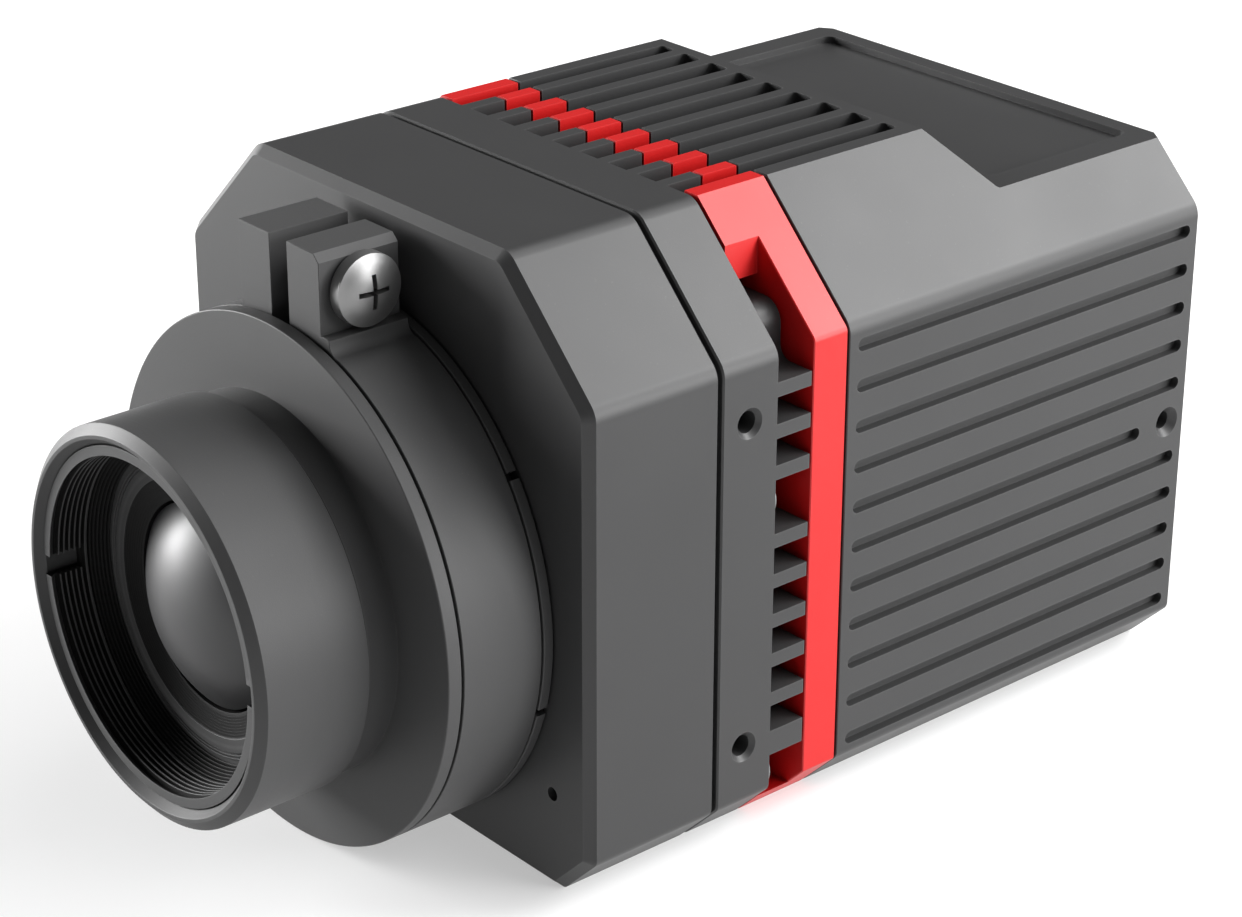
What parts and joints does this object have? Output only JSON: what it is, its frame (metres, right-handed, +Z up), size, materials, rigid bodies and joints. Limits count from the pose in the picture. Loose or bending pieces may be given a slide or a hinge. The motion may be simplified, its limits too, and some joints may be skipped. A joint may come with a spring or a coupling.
{
  "type": "cooled astronomy camera",
  "caption": "Dark grey anodised camera head with a clamped focusing lens, a red cooling frame, finned sides, a vented top and a rear connector panel.",
  "frame": {"origin": "on the base plane, under the middle of the length and the width", "axes": "+Z up from the base; +Y along the lens axis towards the rear connector panel, so the lens looks along -Y; +X towards the side that the clamp screw's head faces"},
  "size_m": [0.0666, 0.1212, 0.0666],
  "materials": {
    "anodised_body": "satin dark grey anodised aluminium",
    "anodised_lens": "satin near-black anodised aluminium",
    "anodised_inner": "matt black anodised aluminium",
    "anodised_red": "satin bright red anodised aluminium",
    "stainless_screws": "bright stainless steel",
    "brass_fittings": "plain turned brass",
    "coated_glass": "polished glass with a dark anti-reflection coating",
    "window_glass": "clear polished glass",
    "copper": "bare copper",
    "ceramic": "white ceramic with a smooth face",
    "circuit_board": "green glass-fibre board with solder mask",
    "sensor_package": "dark sensor package",
    "seal_rubber": "black rubber",
    "black_plastic": "moulded black plastic",
    "plated_metal": "nickel-plated metal",
    "light_pipe": "translucent plastic"
  },
  "bodies": {
    "camera_body": {"rear_casing": "anodised_body", "heat_sink": "anodised_body", "lens_flange": "anodised_lens", "front_housing": "anodised_body", "lens_lock_ring": "anodised_lens", "red_frame": "anodised_red", "clamp_ring": "anodised_lens", "rear_panel": "anodised_body", "fan_frame": "black_plastic", "power_socket": "plated_metal", "sync_socket": "plated_metal", "sensor_chamber": "anodised_inner", "processor_board": "circuit_board", "interface_board": "circuit_board", "shutter_plate": "anodised_inner", "housing_screw_1": "stainless_screws", "housing_screw_2": "stainless_screws", "housing_screw_3": "stainless_screws", "housing_screw_4": "stainless_screws", "panel_screw_1": "stainless_screws", "panel_screw_2": "stainless_screws", "panel_screw_3": "stainless_screws", "panel_screw_4": "stainless_screws", "tripod_insert": "brass_fittings", "shutter_motor": "plated_metal", "fan_screw_1": "stainless_screws", "fan_screw_2": "stainless_screws", "fan_screw_3": "stainless_screws", "fan_screw_4": "stainless_screws", "board_screw_1": "stainless_screws", "board_screw_2": "stainless_screws", "board_screw_3": "stainless_screws", "board_screw_4": "stainless_screws", "chamber_window": "window_glass", "housing_seal": "seal_rubber", "front_spacer_1": "brass_fittings", "front_spacer_2": "brass_fittings", "front_spacer_3": "brass_fittings", "front_spacer_4": "brass_fittings", "rear_spacer_1": "brass_fittings", "rear_spacer_2": "brass_fittings", "rear_spacer_3": "brass_fittings", "rear_spacer_4": "brass_fittings", "status_light": "light_pipe", "data_socket": "plated_metal", "sensor_board": "circuit_board", "image_sensor": "sensor_package", "cold_finger": "copper", "thermoelectric_cooler": "ceramic"},
    "focus_barrel": {"focus_barrel": "anodised_lens", "front_retaining_ring": "anodised_lens"},
    "lens_group": {"lens_cell": "anodised_lens", "front_element": "coated_glass", "rear_element": "coated_glass"},
    "clamp_screw": {"clamp_screw": "stainless_screws"},
    "shutter_blade": {"shutter_blade": "black_plastic"},
    "fan_rotor": {"fan_rotor": "black_plastic"}
  },
  "joints": [
    {"name": "focus_turn", "type": "hinge", "parent": "camera_body", "child": "focus_barrel", "pos_m": [0, -0.054, 0.0284], "axis": [0, 1, 0], "range_deg": [-135, 135]},
    {"name": "lens_travel", "type": "slide", "parent": "camera_body", "child": "lens_group", "axis": [0, 1, 0], "range_m": [-0.0012, 0.0012]},
    {"name": "clamp_screw_turn", "type": "hinge", "parent": "camera_body", "child": "clamp_screw", "pos_m": [0.007, -0.0375, 0.06085], "axis": [1, 0, 0], "range_deg": [0, 720]},
    {"name": "shutter_swing", "type": "hinge", "parent": "camera_body", "child": "shutter_blade", "pos_m": [0, -0.02533, 0.0479], "axis": [0, 1, 0], "range_deg": [0, 55]},
    {"name": "fan_spin", "type": "hinge", "parent": "camera_body", "child": "fan_rotor", "pos_m": [0, 0.0082, 0.027], "axis": [0, 1, 0], "continuous": true}
  ],
  "couplings": [
    {"joint": "lens_travel", "follows": "focus_turn", "m_per_rad": 0.000477}
  ]
}
